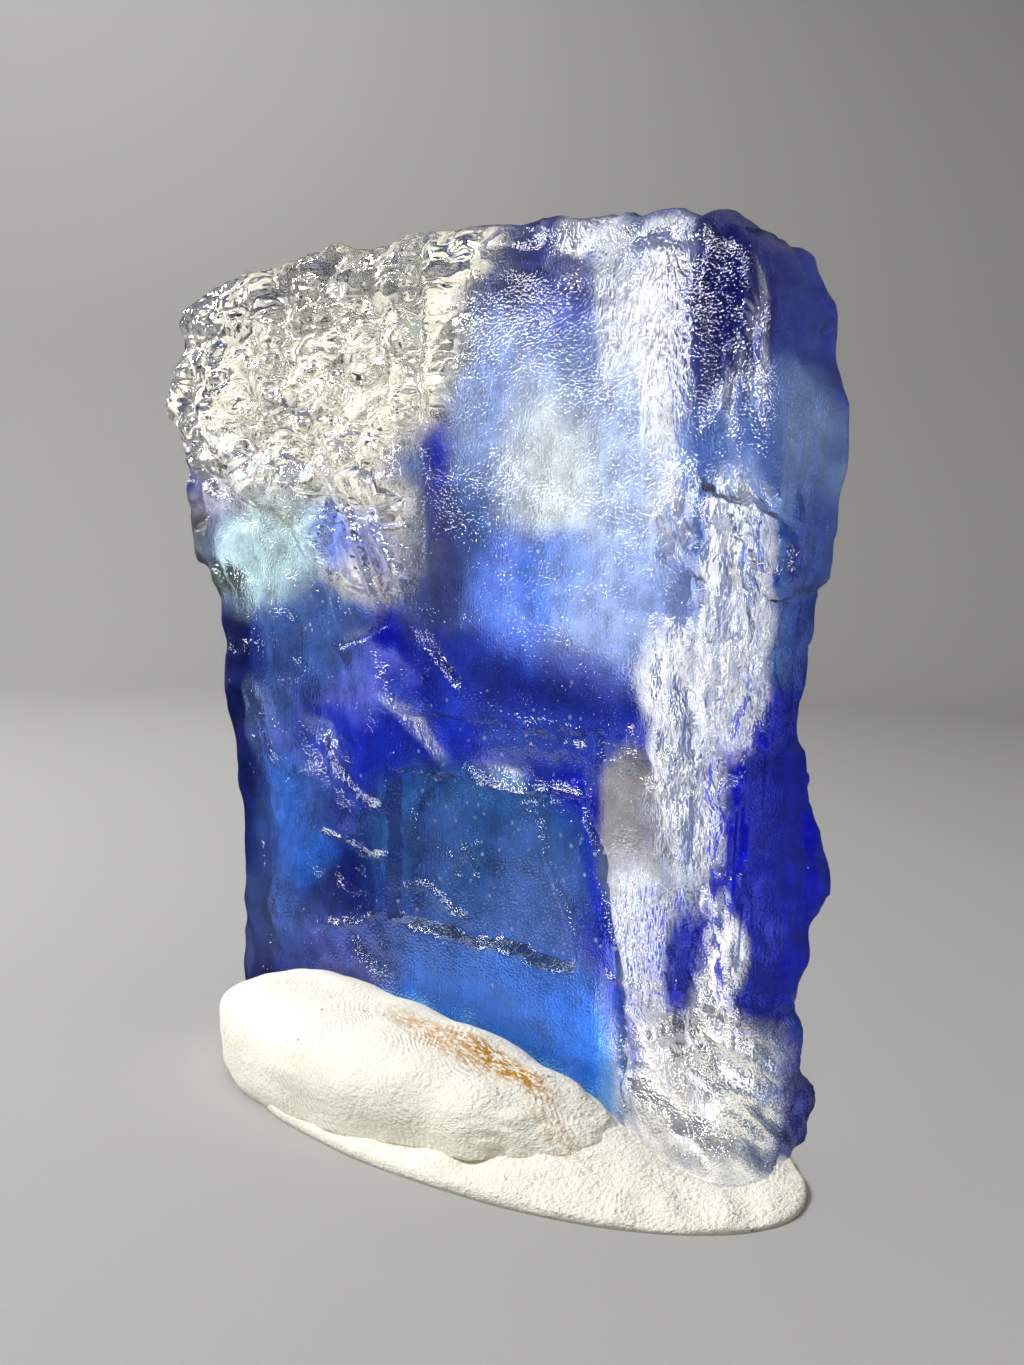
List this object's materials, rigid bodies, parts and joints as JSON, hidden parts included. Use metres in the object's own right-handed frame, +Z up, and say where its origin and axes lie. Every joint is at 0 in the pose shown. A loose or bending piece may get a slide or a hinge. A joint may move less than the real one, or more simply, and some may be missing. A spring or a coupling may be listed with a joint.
{
  "type": "blue halite crystal",
  "caption": "Upright cleavage slab of clear to deep blue halite with an etched corner, bedded in white mineral putty.",
  "frame": {"origin": "centre of the underside's box, in the plane that the putty rests on; the slab's front face lies in the plane y = 0", "axes": "+Z up, X along the slab's width with the near, thin end at +X, front face towards -Y"},
  "size_m": [0.0945, 0.0386, 0.0921],
  "materials": {
    "halite": "clear, zoned from colourless to deep cobalt and violet blue, etched and lumpy on one corner, satin to glossy cleavage faces",
    "putty": "matte ivory-white putty with fingerprint ridges, fine cracks and rust-brown specks"
  },
  "bodies": {
    "root": {"halite_crystal": "halite", "putty_pad": "putty", "putty_roll": "putty"}
  },
  "joints": []
}
